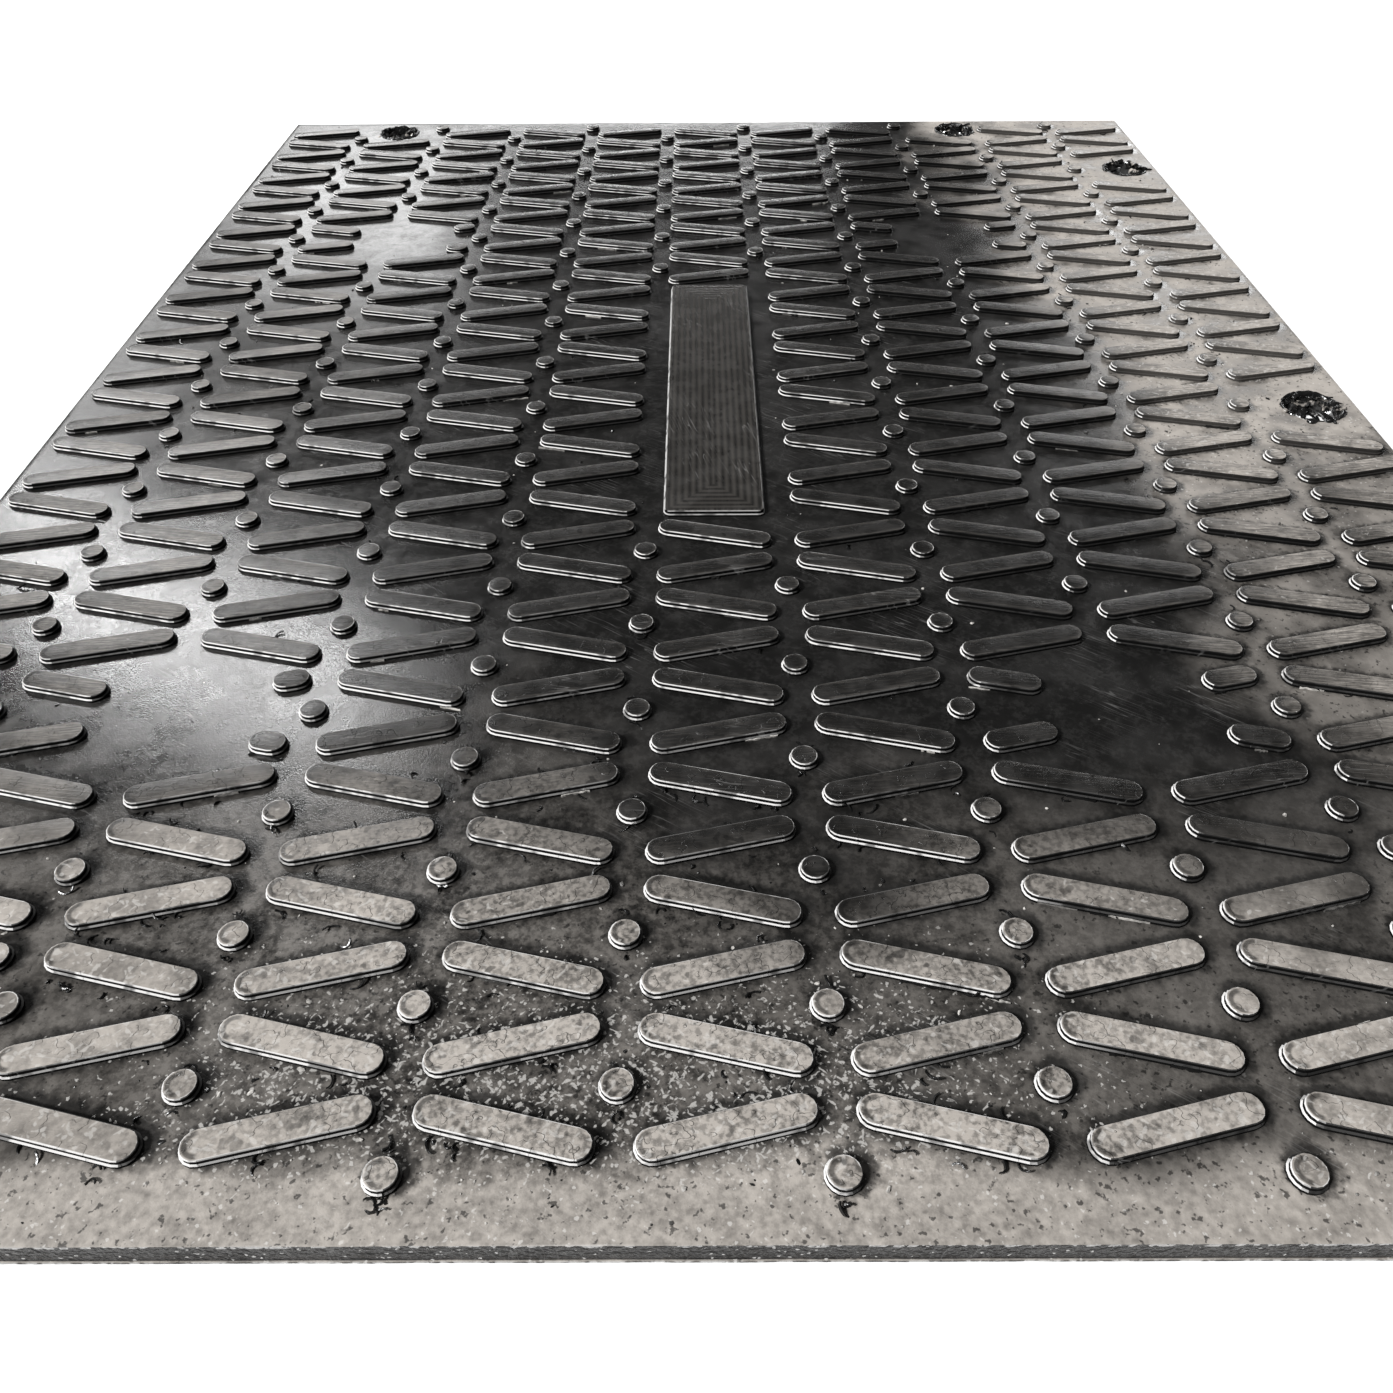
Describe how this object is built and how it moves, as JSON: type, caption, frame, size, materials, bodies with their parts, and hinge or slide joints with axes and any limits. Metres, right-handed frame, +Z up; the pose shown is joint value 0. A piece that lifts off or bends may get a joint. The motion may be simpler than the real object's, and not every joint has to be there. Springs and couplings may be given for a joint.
{
  "type": "ground protection mat",
  "caption": "Flat moulded access mat: raised herringbone cleats and round studs on one face, a raised bare plate in the middle and edge holes for joining mats.",
  "frame": {"origin": "middle of the underside, on the ground", "axes": "+X across the mat towards the edge with two side holes, +Y along it towards the edge with two end holes, +Z up out of the tread"},
  "size_m": [1.5, 2, 0.031],
  "materials": {
    "moulded_black": "matte, dusty, rubbed bright along the tread edges"
  },
  "bodies": {
    "root": {"ground_mat": "moulded_black"}
  },
  "joints": []
}
